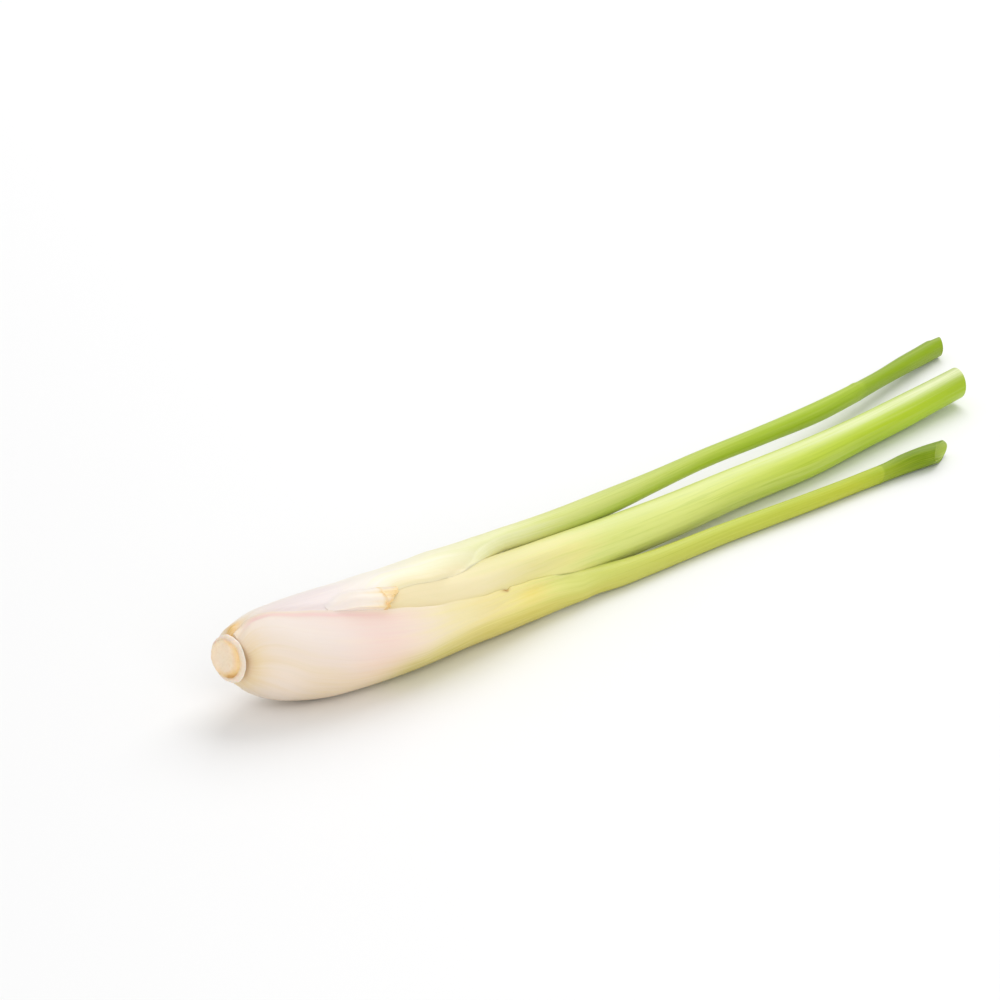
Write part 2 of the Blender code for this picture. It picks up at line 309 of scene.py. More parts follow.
# the back sheath past the bulb; the stem swells up to it where the two part
BACK_LOBE = [
    (32.0, -5.7, 11.7, 12.0),
    (38.0, -6.2, 11.8, 11.95),
    (44.0, -6.7, 12.0, 11.6),
    (49.0, -6.5, 13.0, 10.45),
    (53.0, -6.2, 14.4, 8.95),
    (57.5, -5.5, 15.55, 7.6),
    (62.0, -4.8, 16.6, 6.05),
    (70.0, -2.7, 17.3, 4.0),
    (80.0, -1.2, 17.3, 2.95),
    (91.0, -0.3, 16.2, 2.95),
    (102.0, 0.7, 15.1, 3.05),
    (126.0, 3.0, 13.6, 3.05),
    (142.0, 5.1, 12.8, 2.65),
    (165.0, 9.0, 11.2, 2.35),
    (194.0, 12.8, 9.0, 2.4),
    (223.0, 17.3, 6.7, 2.65),
    (241.0, 21.1, 5.4, 2.5),
    (260.0, 25.6, 4.15, 2.35),
    (272.0, 28.2, 3.7, 2.55),
    (282.0, 30.3, 3.2, 2.7),
    (289.0, 31.7, 2.95, 2.85),
    (294.0, 32.5, 2.7, 2.75),
]
# Where the front sheath's edges run: x, then the angle round the stem of the first and the last.
FRONT_EDGES = [
    (2.0, 93.0, 338.0),
    (4.0, 83.0, 338.0),
    (6.5, 79.0, 338.0),
    (9.5, 87.0, 338.0),
    (13.0, 102.0, 338.0),
    (18.0, 113.0, 337.5),
    (24.0, 124.0, 336.5),
    (30.0, 131.5, 335.5),
    (36.0, 139.0, 334.5),
    (42.0, 145.5, 332.5),
    (50.0, 151.5, 328.0),
    (57.0, 155.0, 322.5),
    (64.0, 160.0, 315.5),
    (71.0, 164.0, 305.5),
    (78.0, 169.0, 295.5),
    (84.0, 174.0, 286.0),
    (91.0, 181.0, 271.0),
    (100.0, 192.0, 251.0),
    (112.0, 205.0, 232.0),
]
MAIN_START = 5.3
MAIN_TIP = 268.0
MAIN_SLANT = 0.35  # the knife's slant at the far end
MAIN_SIDES = 160
MAIN_VEIN = 0.045  # height of the veins
MAIN_STEP = 1.6
PARTING = (30.0, 35.0, 54.0, 62.0)  # where along the stem the back sheath parts from it
LEAN_END = 26.0  # the lean of the root face dies out by here
LAYERS = 5.0  # leaf layers that show in the cut end
LAYER_GROOVE = 0.35  # depth of the step between them
COLOUR_SPAN = 300.0  # the leaves' colour stops are shares of this length
VEIN_STRETCH = 0.026  # how much slower the veins change along a leaf than across it


def bulb_height(x):
    return along(BULB, x)[1]


def stretch(start, full, fading, end, x):
    """Rises from 0 to 1 between the first two places and falls back between the last two."""
    return ease(start, full, x) * (1 - ease(fading, end, x))


def directions(angles):
    """Unit vectors across the stalk: 0 is the back, 90 the top and 180 the front."""
    turns = np.radians(angles)
    return np.stack([np.cos(turns), np.sin(turns)], -1)


def lean_back(x, section):
    """Section points in space, leaning with the root face near the root, never under the table."""
    height = section[:, 1] - bulb_height(x)
    lean = math.tan(CROWN_LEAN) * (1.0 - ease(0.0, LEAN_END, x))
    return np.column_stack([x + lean * height, section[:, 0], np.maximum(section[:, 1], 0.0)])


def fresh_leaf(name, shades, stains, pale, deep="#a9c23c"):
    """Fresh leaf sheath: smooth, watery tissue with a thin waxy bloom, so a soft satin sheen.

    shades are (mm from the root, colour) stops along the leaf. stains are further colours, each
    with the attribute that says how strongly a place has it. deep and pale tint the veins, which
    lie about 0.6 mm apart and run for tens of mm, and the wider bands among them."""
    material = bpy.data.materials.new(name)
    material.use_nodes = True
    tree = material.node_tree
    shader = tree.nodes["Principled BSDF"]
    run = add_node(tree, "Attribute", attribute_name="run").outputs["Fac"]
    place = add_node(tree, "Attribute", attribute_name="place").outputs["Vector"]
    bands = add_node(tree, "TexNoise", {"Scale": 0.45, "Detail": 2.0}, {"Vector": place})
    drift = add_node(tree, "Math", {1: 36.0, 2: -18.0}, {0: bands.outputs["Fac"]},
                     operation="MULTIPLY_ADD").outputs[0]
    moved = add_node(tree, "Math", {}, {0: run, 1: drift}, operation="ADD").outputs[0]
    share = add_node(tree, "MapRange", {"From Min": 0.0, "From Max": COLOUR_SPAN}, {"Value": moved})
    colour = add_node(tree, "ValToRGB", {}, {"Fac": share.outputs[0]},
                      stops=[(mm / COLOUR_SPAN, shade) for mm, shade in shades]).outputs["Color"]
    veins = add_node(tree, "TexNoise", {"Scale": 1.7, "Detail": 3.0, "Roughness": 0.6},
                     {"Vector": place})
    green = add_node(tree, "MapRange", {"From Min": 60.0, "From Max": 180.0, "To Min": 0.1,
                                        "To Max": 1.0}, {"Value": run}).outputs[0]
    for noise, low, high, most, tint in ((bands, 0.5, 0.7, 0.3, pale), (veins, 0.5, 0.7, 0.42, deep),
                                         (bands, 0.5, 0.3, 0.3, deep)):
        strength = add_node(tree, "MapRange", {"From Min": low, "From Max": high, "To Max": most},
                            {"Value": noise.outputs["Fac"]}).outputs[0]
        strength = add_node(tree, "Math", {}, {0: strength, 1: green}, operation="MULTIPLY")
        colour = add_node(tree, "Mix", {7: linear(tint)}, {0: strength.outputs[0], 6: colour},
                          data_type="RGBA").outputs[2]
    for attribute, tint in stains:
        amount = add_node(tree, "Attribute", attribute_name=attribute).outputs["Fac"]
        patchy = add_node(tree, "MapRange", {"From Min": 0.3, "From Max": 0.6, "To Min": 0.6},
                          {"Value": veins.outputs["Fac"]}).outputs[0]
        amount = add_node(tree, "Math", {}, {0: amount, 1: patchy}, operation="MULTIPLY",
                          use_clamp=True)
        colour = add_node(tree, "Mix", {7: linear(tint)}, {0: amount.outputs[0], 6: colour},
                          data_type="RGBA").outputs[2]
    bump = add_node(tree, "Bump", {"Strength": 0.3, "Distance": 0.00005},
                    {"Height": veins.outputs["Fac"]})
    tree.links.new(colour, shader.inputs["Base Color"])
    tree.links.new(bump.outputs["Normal"], shader.inputs["Normal"])
    shader.inputs["Roughness"].default_value = 0.33
    shader.inputs["IOR"].default_value = 1.4
    shader.inputs["Specular IOR Level"].default_value = 0.15
    shader.inputs["Subsurface Weight"].default_value = 0.3
    shader.inputs["Subsurface Radius"].default_value = (1.0, 0.95, 0.8)
    shader.inputs["Subsurface Scale"].default_value = 0.0003
    return material


def vein_relief(s, seed, count):
    """Height of the long veins across a leaf about their mean: soft ridges, uneven in size."""
    draw = np.random.default_rng(seed)
    places = (np.arange(count) + draw.uniform(0.1, 0.9, count)) / count
    heights = draw.uniform(0.2, 1.0, count)
    widths = draw.uniform(0.25, 0.5, count) / count
    gap = np.abs(s[:, None] - places)
    gap = np.minimum(gap, 1.0 - gap)
    ridges = (heights * peak(0.0, widths, gap)).sum(1)
    return ridges - ridges.mean()


def reach(origin, angles, centre, radius):
    """How far rays from origin go before they leave a circle."""
    across = np.array(centre) - np.array(origin)
    forward = directions(angles) @ across
    return forward + np.sqrt(np.maximum(radius**2 - across @ across + forward**2, 0.0))


def back_lobe(x):
    return along(BULB, x) if x < BACK_LOBE[0][0] else along(BACK_LOBE, x)


def front_edges(x):
    return along(FRONT_EDGES, x)


def main_radius(x, angles):
    """The stem's radius. Where the back sheath parts from it, it swells up to that sheath's face."""
    radius = along(MAIN, x)[2]
    lobe = back_lobe(x)
    under = front_edges(x)[0]
    face = reach(along(MAIN, x)[:2], angles, lobe[:2], lobe[2]) - 0.3
    face = face - 0.25 * ease(under - 10.0, under, angles)
    parting = stretch(85.0, 100.0, under + 4.0, under + 18.0, angles) * stretch(*PARTING, x)
    return radius + parting * np.maximum(face - radius, 0.0)


def main_rings():
    """Close sections of the stem, then the cut end's rings, stepped where its layers part."""
    angles = (np.arange(MAIN_SIDES) + 0.5) * 360.0 / MAIN_SIDES
    veins = vein_relief(angles / 360.0, 5, 44)
    rings, runs = [], []
    for x in np.linspace(MAIN_START, MAIN_TIP, int((MAIN_TIP - MAIN_START) / MAIN_STEP)):
        y, z = along(MAIN, x)[:2]
        ribs = MAIN_VEIN * veins * float(ease(40, 160, x))
        section = (y, z) + (main_radius(x, angles) + ribs)[:, None] * directions(angles)
        ring = lean_back(x, section)
        ring[:, 0] += MAIN_SLANT * (section[:, 0] - y) * ease(MAIN_TIP - 20, MAIN_TIP, x)
        rings.append(ring)
        runs.append(np.full(MAIN_SIDES, x))
    centre = np.array([MAIN_TIP, *along(MAIN, MAIN_TIP)[:2]])
    edge = rings[-1]
    for share in np.linspace(0.97, 0.04, 30):
        layer = share * LAYERS + angles / 360.0
        ring = centre + (edge - centre) * share
        ring[:, 0] -= LAYER_GROOVE * peak(0.5, 0.16, layer % 1.0)
        rings.append(ring)
        runs.append(np.full(MAIN_SIDES, MAIN_TIP + 1.0))
    return np.array(rings), np.array(runs), angles


rings, runs, angles = main_rings()
round_place = np.broadcast_to(directions(angles), (len(rings), MAIN_SIDES, 2)) * 5.5
place = np.concatenate([runs[..., None] * VEIN_STRETCH, round_place], -1)
# painted highlight: a paler band along its top, more of it towards the far end; painted shade:
# its lower side turns a deeper green towards the far end
painted_underside_shade = 0.75 * stretch(135.0, 210.0, 300.0, 350.0, angles) * ease(130.0, 250.0, runs)
painted_top_highlight = peak(100.0, 26.0, angles) * (0.25 + 0.5 * ease(140.0, 235.0, runs))
painted_top_highlight = painted_top_highlight * ease(50.0, 90.0, runs)
inner_leaf = fresh_leaf(
    "inner_leaf_tissue",
    [(40, "#ecddb4"), (61, "#ecdfb3"), (81, "#e4da98"), (97, "#e7e091"), (113, "#d9df84"),
     (152, "#d9e27e"), (194, "#ccdd50"), (225, "#bdd52c"), (250, "#acc626"), (266, "#a1ba28")],
    stains=(("low", "#a9c726"), ("high", "#eff2cb")), pale="#eef0b0")
main = add_skin("inner_leaves", rings, {"run": runs, "place": place, "low": painted_underside_shade,
                                        "high": painted_top_highlight}, inner_leaf, poles=True)
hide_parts("main_stalk")
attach(main, "root")


# ---------------------------------------------------------------------------------------------
# Back sheath. The second leaf from the outside, wrapped over the bulb's top and back. Its base is
# thick, white and watery; higher up its edges come together and it rolls into a slim green rod,
# cut across at the end so that the knife shows the fold inside.

# where its edges run: x, then the angles of the first and the last
BACK_EDGES = [
    (3.0, -70.0, 140.0),
    (12.0, -69.0, 142.0),
    (28.0, -67.5, 149.0),
    (31.0, -67.0, 146.5),
    (34.0, -66.5, 137.0),
    (37.0, -65.5, 126.0),
    (40.0, -63.0, 118.0),
    (44.0, -58.5, 115.0),
    (50.0, -49.0, 114.0),
    (54.0, -41.5, 110.5),
    (58.0, -32.5, 105.5),
    (63.0, -19.5, 98.0),
    (70.0, -3.0, 86.0),
    (86.0, 16.0, 70.0),
]
SHEATH_START = 1.95
BACK_TIP = 294.0
BACK_ROLL = (58.0, 86.0)  # the back sheath rolls up between these
BACK_BLADE = 244.0  # the blade begins here, at a low ring
BACK_TORN = (288.6, 289.8)  # past here a strip of its upper side is torn off
BACK_CUT = (276.0, BACK_TIP, 0.6, 1.8, 10.0)  # start, end, shift, depth and heading of the slant
BACK_COLUMNS = 110
MARGIN = 0.35  # thickness of a sheath's free edge
CONTACT = 0.04  # neighbouring leaves touch; this keeps their surfaces apart
FREE_STEP = 0.4  # how far the back sheath sinks where the front one's edge lies on it
WALL = 0.6  # thickness of the leaf where it is rolled into a tube
ROLL_HALF = 174.0  # half the turn that a rolled leaf makes round the rod, most of it outside
ROLL_OUT = 158.0
HOLLOW_DEPTH = 10.0  # how far in a rod's cut end is hollow
# how far in, then how many walls' thickness from the outside
HOLLOW_PROFILE = [
    (0.0, 0.12),
    (-0.06, 0.5),
    (0.0, 0.9),
    (0.4, 1.0),
    (1.6, 1.0),
    (4.0, 1.05),
    (7.0, 1.15),
    (9.0, 1.4),
    (HOLLOW_DEPTH, 2.4),
]


def back_edges(x):
    return along(BACK_EDGES, x)


def tuck(x):
    """Thickness of the back sheath where the front one covers it."""
    wall = along(BULB, x)[2] - along(MAIN, x)[2]
    return max((wall - 0.75) / 2, 0.8)


def back_wall(x, angles):
    """Inner and outer radius of the back sheath: it sinks under the front sheath's edges."""
    core, lobe = along(MAIN, x), back_lobe(x)
    inner = main_radius(x, angles) + CONTACT
    free = np.maximum(reach(core[:2], angles, lobe[:2], lobe[2]), inner + MARGIN)
    upper, lower = front_edges(x)
    near = 1.0 - float(ease(46.0, 60.0, x))
    # it steps down before each edge of the front sheath, and is pressed thinner beyond it
    step = np.maximum(ease(upper - 12.0, upper - 1.5, angles),
                      1.0 - ease(lower - 358.5, lower - 348.0, angles)) * near
    sunk = np.maximum(ease(upper + 1.0, upper + 15.0, angles),
                      1.0 - ease(lower - 375.0, lower - 361.0, angles)) * near
    hidden = np.minimum(inner + tuck(x), free)
    outer = free - step * (FREE_STEP + 0.7 * peak(4.5, 2.5, x))
    return inner, np.maximum(outer + (np.minimum(hidden, outer) - outer) * sunk, inner + MARGIN)


def clear_of_main(x, ring):
    """Push a section's points out of the main stalk."""
    y, z, radius = along(MAIN, x)
    away = ring - (y, z)
    distance = np.linalg.norm(away, axis=1, keepdims=True)
    return ring + away / distance * np.maximum(radius + CONTACT - distance, 0.0)


def sheath_section(x, s, angles, wall, thickness, lobe, rolled, relief):
    """A sheath's section at x, outside first, and how far each outside point is from an edge.

    It is wrapped round the main stalk at these angles, then rolled up into a rod."""
    core = along(MAIN, x)[:2]
    inner, outer = wall(x, angles)
    across = np.minimum(s, 1 - s) * math.radians(angles[-1] - angles[0]) * along(MAIN, x)[2]
    outer = np.minimum(outer, inner + thickness(x, across))
    shoulder = float(np.sqrt(1 - np.clip((SHEATH_START + 2.0 - x) / 2.4, 0, 1) ** 2))
    outer = inner + (outer - inner) * shoulder
    middle = lobe(x)
    lean = middle[:2] - core
    heading = math.degrees(math.atan2(lean[1], lean[0]))
    turn = (s - 0.5) * 2
    out_turn = heading + turn * ROLL_OUT
    in_turn = heading + 180.0 - turn * (ROLL_HALF - ROLL_OUT)
    rod_out = middle[:2] + middle[2] * directions(out_turn)
    rod_in = middle[:2] + middle[2] * directions(in_turn)
    away = directions(angles) * (1 - rolled) + directions(out_turn) * rolled
    outside = (1 - rolled) * (core + outer[:, None] * directions(angles)) + rolled * rod_out
    inside = (1 - rolled) * (core + np.reshape(inner, (-1, 1)) * directions(angles)) + rolled * rod_in
    outside = outside + away * (relief * np.minimum(across / 1.5, 1.0))[:, None]
    return clear_of_main(x, np.concatenate([outside, inside[::-1]])), across


def cut_slant(x, section, centre, cut):
    """How far a rod's points move along it for the knife's slanting cut."""
    start, end, shift, depth, heading = cut
    turn = np.arctan2(section[:, 1] - centre[1], section[:, 0] - centre[0])
    return ease(start, end, x) * (shift + depth * np.cos(turn - math.radians(heading)))


def hollow_end(cut, lobe, tip):
    """Rings that go on from a rod's cut end over its wall and down inside it to a blind end."""
    middle = lobe(tip)
    around = (cut[:, 1:] - middle[:2]) / middle[2]
    added = []
    for depth, wall in HOLLOW_PROFILE:
        level = cut[:, 0] + (tip - HOLLOW_DEPTH - cut[:, 0]) * depth / HOLLOW_DEPTH
        rod = np.array([lobe(x) for x in level])
        added.append(np.column_stack([level, rod[:, :2] + around * (rod[:, 2:] - WALL * wall)]))
    return added


def even_runs(*stops):
    """Places along the stalk from (start, end, step) runs."""
    places = []
    for start, end, step in stops:
        places.append(np.linspace(start, end, max(int((end - start) / step), 1), endpoint=False))
    return np.append(np.concatenate(places), stops[-1][1])


def both_faces(values):
    """Values across a sheath's outside, for its outside and its inside."""
    return np.append(values, values[::-1])


def sheath_facts(places, s, bands):
    """A sheath's attributes: the run along it, and its place among its veins' bands."""
    run = np.repeat(places[:, None], 2 * len(s), 1)
    across = np.repeat(both_faces(s)[None] * bands, len(places), 0)
    face = np.repeat(np.repeat([0.0, 9.0], len(s))[None], len(places), 0)
    return {"run": run, "place": np.stack([run * VEIN_STRETCH, across, face], -1)}


def add_sheath(name, rings, places, s, lobe, bands, stains, material):
    """A sheath's mesh with its hollow end. stains has each section's strength of every stain."""
    end = hollow_end(rings[-1], lobe, places[-1])
    facts = sheath_facts(np.append(places, [places[-1]] * len(end)), s, bands)
    facts["hollow"] = np.zeros_like(facts["run"])
    facts["hollow"][-len(end) + 2:] = 1.0
    for stain in stains[0]:
        strengths = [both_faces(section[stain]) for section in stains]
        facts[stain] = np.array(strengths + [strengths[-1]] * len(end))
    return add_skin(name, np.array(rings + end), facts, material)


def sheath_veins(x, veins):
    """Veins stand out more as the watery base turns into green stem."""
    return (0.015 + 0.04 * ease(30, 160, x)) * veins


def back_thickness(x, across):
    """The back sheath thins out to nothing over the stalk, so its edge there hardly shows."""
    thin = 0.03 + 0.26 * across + 0.35 * across**2
    full = 0.6 + 1.5 * across
    return thin + (full - thin) * float(ease(58.0, 76.0, x))


s = np.linspace(0.0, 1.0, BACK_COLUMNS)
places = even_runs((SHEATH_START, 8.0, 0.4), (8.0, 90.0, 0.9), (90.0, 240.0, 1.8),
                   (240.0, 250.0, 0.6), (250.0, 284.0, 1.8), (284.0, BACK_TIP, 0.6))
rings, stains = [], []
veins = vein_relief(s, 11, 34)
for x in places:
    first, last = back_edges(x)
    angles = first + (last - first) * s
    relief = sheath_veins(x, veins) + 0.14 * peak(BACK_BLADE, 1.3, x)
    relief = relief - 0.08 * ease(BACK_BLADE, BACK_BLADE + 2.0, x)
    relief = relief - 0.5 * ease(*BACK_TORN, x) * peak(0.62, 0.16, s)
    section, across = sheath_section(x, s, angles, back_wall, back_thickness, back_lobe,
                                     float(ease(*BACK_ROLL, x)), relief)
    centre = back_lobe(x)
    ring = lean_back(x, section)
    ring[:, 0] += cut_slant(x, section, centre, BACK_CUT)
    rings.append(ring)

    # dried juice by the collar, a lilac tinge, the cream inside of the free edge, painted shade
    # that turns its lower side a deeper green, and the darker blade
    amber = peak(front_edges(x)[0] - 14.0, 20.0, angles) * peak(3.2, 3.0, x)
    lilac = ease(50.0, 85.0, angles) * stretch(6, 14, 24, 38, x)
    cream = (1.0 - ease(0.2, 3.2, across)) * (s > 0.5) * stretch(34, 40, 58, 74, x)
    # painted shade along its underside
    low = ease(0.78, 0.97, s) * ease(80, 130, x)
    boundary = BACK_BLADE + 2.0 * (section[:BACK_COLUMNS, 1] - centre[1]) / centre[2]
    blade = ease(boundary, boundary + 2.5, x)
    stains.append({"amber": amber, "lilac": 0.55 * lilac, "cream": 1.3 * cream,
                   "low": 0.5 * low, "blade": 0.35 * blade})
back_leaf = fresh_leaf(
    "back_leaf_tissue",
    [(0, "#f1e3cb"), (10, "#f3e9dc"), (35, "#f4ede2"), (50, "#f3eed2"), (61, "#edeac2"),
     (84, "#e5e6b0"), (103, "#d7dc8a"), (122, "#cdd57a"), (166, "#b8c952"), (189, "#adc43c"),
     (238, "#a9c22c"), (252, "#99b218"), (272, "#89a303"), (292, "#829b04")],
    stains=(("amber", "#e4b868"), ("lilac", "#e6d6de"), ("cream", "#eee2b8"), ("low", "#9ab81c"),
            ("blade", "#84a20c"), ("hollow", "#c3d479")),
    deep="#93ad1c", pale="#d4e07c")
back = add_sheath("back_leaf_sheath", rings, places, s, back_lobe, 34.0, stains, back_leaf)
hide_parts("back_sheath")
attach(back, "root")


# ---------------------------------------------------------------------------------------------
# Front sheath. The outermost leaf, wrapped round the bulb's front and underside over the back
# sheath's edge: thick and white at the base, flushed pink along its thin margin. It rolls into the
# thinnest stem, which turns at a small ligule into dark green leaf blade just before the cut.

# its middle line past the bulb: x, y and z of the centre, radius
FRONT_LOBE = [
    (44.0, -7.1, 11.4, 11.6),
    (53.0, -7.6, 10.4, 10.5),
    (62.0, -7.9, 9.2, 9.3),
    (72.0, -8.8, 7.5, 7.6),
    (81.0, -9.3, 6.1, 6.2),
    (91.0, -10.1, 4.6, 4.7),
    (100.0, -10.8, 3.85, 3.95),
    (110.0, -11.5, 3.15, 3.25),
    (120.0, -11.9, 2.75, 2.85),
    (150.0, -12.4, 2.35, 2.45),
    (180.0, -14.2, 2.3, 2.25),
    (203.0, -15.0, 2.2, 2.2),
    (210.0, -15.3, 2.25, 2.25),
    (217.0, -15.7, 2.55, 2.55),
    (224.0, -16.2, 2.6, 2.65),
    (231.0, -16.8, 2.5, 2.5),
]
FRONT_TIP = 231.0
FRONT_ROLL = (84.0, 114.0)
FRONT_CUT = (217.0, FRONT_TIP, -0.7, 5.5, -10.0)
FRONT_COLUMNS = 120
NICK = 71.0  # where the upper margin is nicked and has browned
LIGULE = 206.0  # the small ring where sheath turns into blade


def front_lobe(x):
    return along(BULB, x) if x < FRONT_LOBE[0][0] else along(FRONT_LOBE, x)


def front_wall(x, angles):
    """Inner and outer radius of the front sheath, which lies on the back sheath and the stalk."""
    core, lobe = along(MAIN, x), front_lobe(x)
    first, last = back_edges(x)
    upper = front_edges(x)[0]
    core_in = main_radius(x, angles) + CONTACT
    free = reach(core[:2], angles, lobe[:2], lobe[2])
    # it lies over the back sheath above and below, and bridges the gap beside its upper edge
    over = (1.0 - ease(last + 1.0, last + 6.0, angles)) * (back_wall(x, angles)[1] - core_in)
    low = ease(first + 354.0, first + 359.0, angles)
    over_low = low * (back_wall(x, angles - 360.0)[1] - core_in)
    spans = (1.0 - ease(40.0, 56.0, x)) * (1.0 - ease(upper + 8.0, upper + 26.0, angles))
    bridge = spans * np.maximum(free - FREE_STEP - core_in, 0.0) * ease(30.0, 35.0, x)
    inner = core_in + np.maximum(np.maximum(over, over_low), bridge) + CONTACT
    return inner, np.maximum(free, inner + MARGIN)


def front_thickness(x, across):
    """The front sheath's margin is thin and crisp, and its body fills out within a few mm."""
    rim = MARGIN + (0.8 - MARGIN) * (1 - np.exp(-across / 0.5))
    return rim + (0.6 + 0.9 * float(ease(48.0, 70.0, x))) * across


s = np.linspace(0.0, 1.0, FRONT_COLUMNS)
places = even_runs((SHEATH_START, 8.0, 0.4), (8.0, 66.0, 0.9), (66.0, 90.0, 0.5),
                   (90.0, 203.0, 1.6), (203.0, 212.0, 0.5), (212.0, FRONT_TIP, 0.6))
rings, stains = [], []
veins = vein_relief(s, 3, 36)
for x in places:
    first, last = front_edges(x)
    angles = first + (last - first) * s
    wave = 0.5 * math.sin(x / 2.3) + 0.35 * math.sin(x / 1.1 + 1.0)
    worn = (4.0 * peak(NICK, 0.9, x) + wave * ease(8.0, 20.0, x)) * (1 - ease(0.0, 0.1, s))
    relief = sheath_veins(x, veins) + 0.16 * peak(LIGULE, 0.8, x)
    section, across = sheath_section(x, s, angles + worn, front_wall, front_thickness, front_lobe,
                                     float(ease(*FRONT_ROLL, x)), relief)
    centre = front_lobe(x)
    ring = lean_back(x, section)
    bare = stretch(120.0, 175.0, 230.0, 290.0, angles)
    ring[:, 0] += both_faces(0.8 * bare * peak(SHEATH_START, 1.5, x))
    ring[:, 0] += cut_slant(x, section, centre, FRONT_CUT)
    rings.append(ring)

    # a painted highlight along the bulb's top, the pink line along the upper margin and the
    # blush below it
    from_margin = np.where(s < 0.5, across, 9.0)
    painted_bulb_highlight = stretch(0.02, 0.08, 0.12, 0.3, s) * stretch(3, 10, 28, 52, x)
    line = peak(1.0, 0.45, from_margin) * stretch(3, 8, 26, 36, x)
    flush = peak(32.0, 9.0, x) * stretch(0.0, 0.05, 0.26, 0.55, s)
    flush = flush + 0.25 * peak(22.0, 13.0, x) * peak(0.07, 0.06, s)
    # the underside's duller green, partly the leaf's own and partly painted shade near the table,
    # a yellow patch, the browned nick, tan by the collar and along the underside, partly the dried
    # base and partly painted shade, and painted shade in the groove where the sheath starts
    under = ease(0.22, 0.44, s) * ease(27, 41, x) * (1 - 0.8 * ease(80, 130, x))
    yellow = peak(0.2, 0.12, s) * peak(80.0, 6.0, x)
    speck = peak(0.0, 0.5, from_margin) * peak(NICK - 0.8, 1.3, x)
    # tan: partly the dried base, partly painted shade under the collar and along the underside
    tan = peak(2.5, 2.6, x) * ease(0.08, 0.3, s)
    tan = tan + 0.75 * ease(0.24, 0.42, s) * stretch(8, 18, 30, 42, x)
    # painted shade in the groove where the sheath starts behind the collar
    painted_groove_shade = bare * peak(SHEATH_START, 0.5, x)
    boundary = LIGULE + 1.5 * (section[:FRONT_COLUMNS, 1] - centre[1]) / centre[2]
    blade = 0.45 * ease(boundary - 0.5, boundary + 0.5, x) + 0.5 * ease(LIGULE, LIGULE + 14, x)
    stains.append({"painted_bulb_highlight": 0.5 * painted_bulb_highlight, "line": 0.6 * line, "flush": 0.55 * flush,
                   "under": 0.8 * under, "yellow": 0.7 * yellow, "speck": speck,
                   "tan": 0.5 * tan, "painted_groove_shade": 0.25 * painted_groove_shade, "blade": blade})
front_leaf = fresh_leaf(
    "front_leaf_tissue",
    [(0, "#eddac2"), (8, "#eedecd"), (20, "#ecddd2"), (38, "#f4e4cc"), (52, "#f4e6b4"),
     (63, "#f3e3a3"), (75, "#f3e79b"), (91, "#e1e189"), (107, "#ced270"), (124, "#c8cc63"),
     (159, "#c2cc54"), (196, "#b8c438"), (207, "#a4ba2c"), (224, "#9cb322")],
    stains=(("painted_bulb_highlight", "#fcf3ee"), ("line", "#f2c3c4"), ("flush", "#f2cdc5"), ("under", "#c8bb4c"),
            ("yellow", "#f0dc78"), ("speck", "#a8702f"), ("tan", "#e5ca88"), ("painted_groove_shade", "#c09a80"),
            ("blade", "#6f8b0c"), ("hollow", "#b0c458")),
    deep="#a4b428", pale="#e0e27c")
front = add_sheath("front_leaf_sheath", rings, places, s, front_lobe, 36.0, stains, front_leaf)
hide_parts("outer_sheath")
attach(front, "root")


# ---------------------------------------------------------------------------------------------
# Side bract. A small dead leaf tucked between the two sheaths, thin and dry, with its tip torn
# across where it has turned tan.
BRACT = (21.5, 39.5)  # where along the bulb it starts and ends
BRACT_WIDTH = 32.0  # degrees round the bulb
BRACT_ROOT = 4.0  # degrees where it comes out between the sheaths
BRACT_SLANT = 5.5  # how much shorter its lower edge is torn
BRACT_COLUMNS = 45


def bract_grid():
    """How far along, how far across and x of the bract's points, and where it is folded over."""
    shares = np.append(np.linspace(0.0, 0.76, 30), np.linspace(0.77, 1.0, 26))
    share, side = np.meshgrid(shares, np.linspace(0.0, 1.0, BRACT_COLUMNS), indexing="ij")
    length = BRACT[1] - BRACT[0]
    jag = 0.35 * np.sin(7.0 * side + 1.6) + 0.22 * np.sin(19.0 * side) + 0.12 * np.sin(41.0 * side)
    torn = length - BRACT_SLANT * ease(0.2, 1.0, side) + jag * share**4
    fold = 1.0 - (3.9 - 2.9 * ease(0.3, 1.0, side)) / length + 0.012 * np.sin(13.0 * side)
    return share, side, BRACT[0] + torn * share, fold


def bract_point(x, side, dome):
    """A point of the bract's outside and the one under it on its inside."""
    core = along(MAIN, x)[:2]
    span = BRACT_ROOT + (BRACT_WIDTH - BRACT_ROOT) * float(ease(BRACT[0] - 3.0, BRACT[0] + 8.0, x))
    angle = np.array([front_edges(x)[0] + 1.5 - span * (1.0 - side)])
    seat = back_wall(x, angle)[1] + CONTACT
    wall = np.concatenate([seat + dome, seat])
    return lean_back(x, core + wall[:, None] * directions(angle))


share, side, xs, fold = bract_grid()
near_fold = peak(fold, 0.022, share)
near_rim = peak(1.0, 0.035, share)
between = ease(fold, fold + 0.04, share) * (1.0 - near_rim)
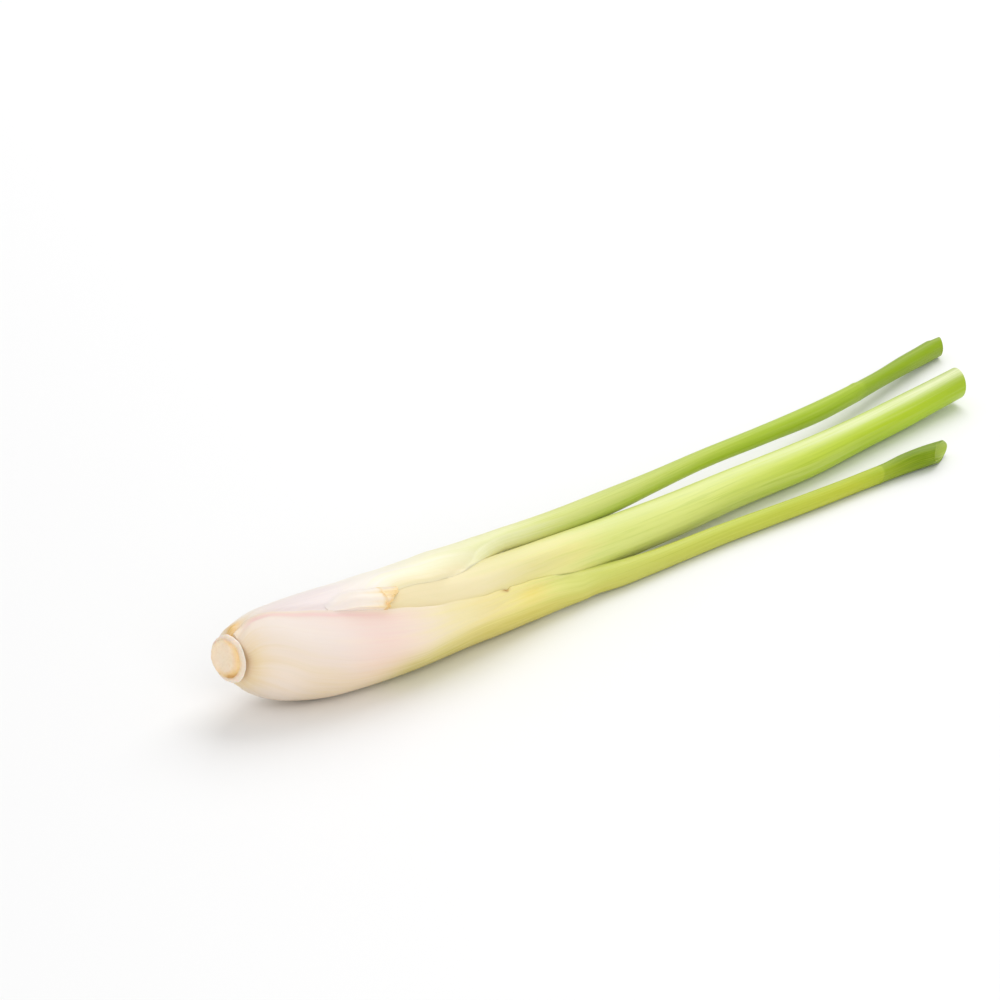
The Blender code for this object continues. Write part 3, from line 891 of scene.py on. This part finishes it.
# it swells from its edges to its middle, with a ridge at the fold and crumples past it
dome = 0.03 + 1.75 * ease(-0.12, 0.55, share) * ease(0.0, 0.75, side)
dome = dome * (1.0 + 0.16 * near_fold - 0.3 * between + 0.05 * near_rim)
dome = dome + 0.12 * between * np.sin(27.0 * side + 9.0 * share) * ease(0.0, 0.3, side)
rings = []
for i in range(len(xs)):
    pairs = np.array([bract_point(*at) for at in zip(xs[i], side[i], dome[i])])
    rings.append(np.concatenate([pairs[:, 0], pairs[::-1, 1]]))
dry = near_fold * (0.75 + 0.25 * np.sin(11.0 * side + 2.0)) + 0.8 * near_rim + 0.3 * between
brown = 0.5 * dry**2 * side
facts = sheath_facts(BRACT[0] + share[:, 0] * (BRACT[1] - BRACT[0]), side[0], 6.0)
facts["dry"] = np.concatenate([dry, dry[:, ::-1]], 1)
facts["brown"] = np.concatenate([brown, brown[:, ::-1]], 1)
dry_leaf = fresh_leaf(
    "dry_bract_tissue",
    [(22, "#f2e6e0"), (32, "#f4e8da"), (36, "#f5e4c8"), (40, "#f0d6a0")],
    stains=(("dry", "#f0cd88"), ("brown", "#dba952")), pale="#fbf6ea")
bract = add_skin("side_bract_leaf", np.array(rings), facts, dry_leaf)
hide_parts("side_bract")
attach(bract, "root")


# ---------------------------------------------------------------------------------------------
# Floor, light and camera. A sheet of white paper that the stalk lies on, one large soft lamp
# behind it and a weaker one in front, and a long lens that looks down on it from the root's side.
PAPER = 3.0  # half of its side, in metres
PAPER_DROP = 0.0002  # keeps it clear of the stalk's flat spot
LAMPS_AIM = Vector((0.1, 0.0, 0.0))
CAMERA_PLACE = Vector((-462.8, -496.8, 318.4)) * MM
CAMERA_AIM = Vector((104.1, 50.7, 0.0)) * MM

floor_mesh = bpy.data.meshes.new("floor")
corners = [(-PAPER, -PAPER, 0), (PAPER, -PAPER, 0), (PAPER, PAPER, 0), (-PAPER, PAPER, 0)]
floor_mesh.from_pydata(corners, [], [(0, 1, 2, 3)])
floor = bpy.data.objects.new("floor", floor_mesh)
floor.location.z = -PAPER_DROP
bpy.context.scene.collection.objects.link(floor)
white = bpy.data.materials.new("white_paper")
white.use_nodes = True
paper = white.node_tree.nodes["Principled BSDF"]
paper.inputs["Base Color"].default_value = (0.9, 0.9, 0.9, 1)
paper.inputs["Roughness"].default_value = 0.6
floor_mesh.materials.append(white)

world = bpy.data.worlds.new("studio")
world.use_nodes = True
sky = world.node_tree.nodes["Background"]
sky.inputs["Color"].default_value = (1, 1, 1, 1)
sky.inputs["Strength"].default_value = 0.66
bpy.context.scene.world = world
bpy.context.scene.view_settings.view_transform = "Standard"

for name, place, size, power in (
    ("softbox_back", (1.0, 0.4, 1.15), 1.3, 11.8),
    ("softbox_front", (-0.6, -1.1, 0.8), 1.0, 6.6),
):
    lamp = bpy.data.lights.new(name, "AREA")
    lamp.size = size
    lamp.energy = power
    holder = bpy.data.objects.new(name, lamp)
    holder.location = place
    holder.rotation_euler = (LAMPS_AIM - Vector(place)).to_track_quat("-Z", "Y").to_euler()
    bpy.context.scene.collection.objects.link(holder)

lens = bpy.data.cameras.new("camera")
lens.lens = 122.4
lens.sensor_width = 36.0
lens.clip_end = 20.0
camera = bpy.data.objects.new("camera", lens)
camera.location = CAMERA_PLACE
camera.rotation_euler = (CAMERA_AIM - CAMERA_PLACE).to_track_quat("-Z", "Y").to_euler()
bpy.context.scene.collection.objects.link(camera)
bpy.context.scene.camera = camera
